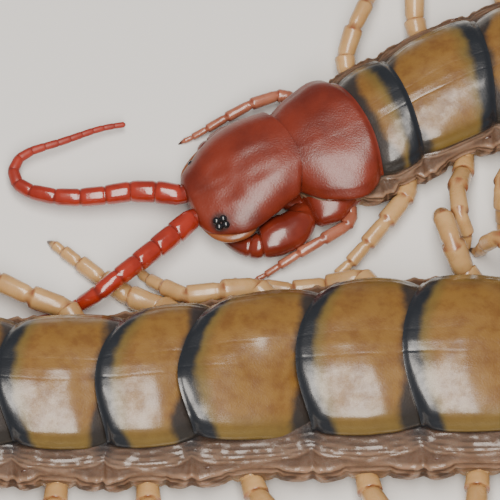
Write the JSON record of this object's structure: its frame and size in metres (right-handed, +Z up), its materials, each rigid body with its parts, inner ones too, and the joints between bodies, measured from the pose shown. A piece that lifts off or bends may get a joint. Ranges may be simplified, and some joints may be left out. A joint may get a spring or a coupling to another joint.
{
  "type": "giant centipede",
  "caption": "Giant centipede at rest in a U-shaped bend: flat head, banded plates, paired legs, feelers and poison claws.",
  "frame": {"origin": "middle of the whole animal's outline, on the floor that its belly and claws rest on", "axes": "+Z up; +X along the straight rear half of the body towards the bend; +Y across the bend towards the front half"},
  "size_m": [0.1534, 0.0758, 0.0086],
  "materials": {
    "head_shell": "brick-red shell with a leathery grain",
    "feeler_shell": "bright red, smooth and shiny",
    "jaw_shell": "dark glossy red",
    "trunk_shell": "glossy ochre plates with blue-black rear bands, grey-brown flanks",
    "leg_shell": "glossy yellow-tan",
    "first_leg_shell": "glossy reddish brown",
    "eye_lens": "glossy black"
  },
  "bodies": {
    "root": {"antenna_left": "feeler_shell", "antenna_right": "feeler_shell", "forcipule_left": "jaw_shell", "forcipule_right": "jaw_shell", "head": "head_shell", "leg_01_left": "first_leg_shell", "leg_01_right": "first_leg_shell", "leg_02_left": "leg_shell", "leg_02_right": "leg_shell", "leg_03_left": "leg_shell", "leg_03_right": "leg_shell", "leg_04_left": "leg_shell", "leg_04_right": "leg_shell", "leg_05_left": "leg_shell", "leg_05_right": "leg_shell", "leg_06_left": "leg_shell", "leg_06_right": "leg_shell", "leg_07_left": "leg_shell", "leg_07_right": "leg_shell", "leg_08_left": "leg_shell", "leg_08_right": "leg_shell", "leg_09_left": "leg_shell", "leg_09_right": "leg_shell", "leg_10_left": "leg_shell", "leg_10_right": "leg_shell", "leg_11_left": "leg_shell", "leg_11_right": "leg_shell", "leg_12_left": "leg_shell", "leg_12_right": "leg_shell", "leg_13_left": "leg_shell", "leg_13_right": "leg_shell", "leg_14_left": "leg_shell", "leg_14_right": "leg_shell", "leg_15_left": "leg_shell", "leg_15_right": "leg_shell", "leg_16_left": "leg_shell", "leg_16_right": "leg_shell", "leg_17_left": "leg_shell", "leg_17_right": "leg_shell", "leg_18_left": "leg_shell", "leg_18_right": "leg_shell", "leg_19_left": "leg_shell", "leg_19_right": "leg_shell", "leg_20_left": "leg_shell", "leg_20_right": "leg_shell", "leg_21_left": "leg_shell", "leg_21_right": "leg_shell", "mouthparts": "jaw_shell", "ocelli_left": "eye_lens", "ocelli_right": "eye_lens", "trunk_01": "head_shell", "trunk_02_03": "trunk_shell", "trunk_04_05": "trunk_shell", "trunk_06_07": "trunk_shell", "trunk_08_09": "trunk_shell", "trunk_10_12": "trunk_shell", "trunk_13_15": "trunk_shell", "trunk_16_18": "trunk_shell", "trunk_19_21": "trunk_shell"}
  },
  "joints": []
}
